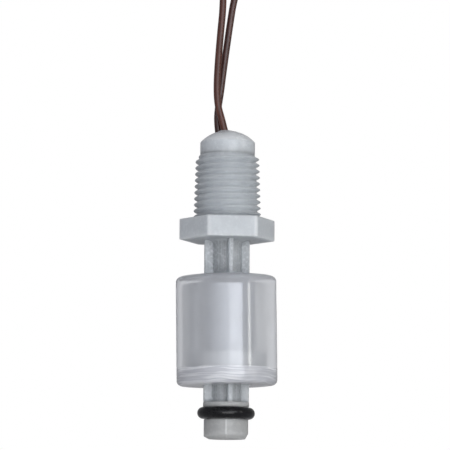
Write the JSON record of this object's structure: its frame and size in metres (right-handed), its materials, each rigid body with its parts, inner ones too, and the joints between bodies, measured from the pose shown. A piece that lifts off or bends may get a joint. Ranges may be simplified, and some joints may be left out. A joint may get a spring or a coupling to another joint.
{
  "type": "float level switch",
  "caption": "Small vertical level switch: a hollow float slides on a ribbed plastic stem below a hexagon and a tapered pipe thread, with two wire leads.",
  "frame": {"origin": "centre of the hexagon's top face, where the pipe thread ends", "axes": "+Z along the stem's axis, up towards the thread's start and the leads; two hexagon flats face -Y and +Y"},
  "size_m": [0.0152, 0.0152, 0.0969],
  "materials": {
    "body_plastic": "natural unpigmented polypropylene, satin moulded",
    "potting_resin": "cured potting resin, uneven gloss",
    "float_plastic": "natural unpigmented polypropylene, milky, spin-welded below",
    "magnet_ferrite": "ferrite ring, dip-coated pale grey",
    "ring_rubber": "black nitrile rubber",
    "reed_glass": "clear greenish glass",
    "reed_metal": "nickel-iron wire, plated contacts",
    "solder": "bright solder",
    "sleeve_plastic": "shrunk polyolefin sleeve",
    "lead_insulation": "brown lead insulation, satin",
    "tinned_strands": "tinned copper strands",
    "tie_plastic": "moulded nylon tie"
  },
  "bodies": {
    "switch": {"switch_body": "body_plastic", "potting_fill": "potting_resin", "reed_glass": "reed_glass", "reed_blade_upper": "reed_metal", "reed_blade_lower": "reed_metal", "joint_solder_upper": "solder", "joint_solder_lower": "solder", "joint_sleeve_upper": "sleeve_plastic", "joint_sleeve_lower": "sleeve_plastic", "front_lead_potted": "lead_insulation", "rear_lead_potted": "lead_insulation", "front_lead_strands": "tinned_strands", "rear_lead_strands": "tinned_strands", "front_lead": "lead_insulation", "rear_lead": "lead_insulation", "front_lead_hank": "lead_insulation", "rear_lead_hank": "lead_insulation", "front_lead_end": "tinned_strands", "rear_lead_end": "tinned_strands", "lead_tie": "tie_plastic", "stop_ring": "ring_rubber"},
    "float": {"float_shell": "float_plastic", "float_cap": "float_plastic", "float_magnet": "magnet_ferrite"}
  },
  "joints": [
    {"name": "float_slide", "type": "slide", "parent": "switch", "child": "float", "axis": [0, 0, 1], "range_m": [-0.00315, 0.00545]}
  ]
}
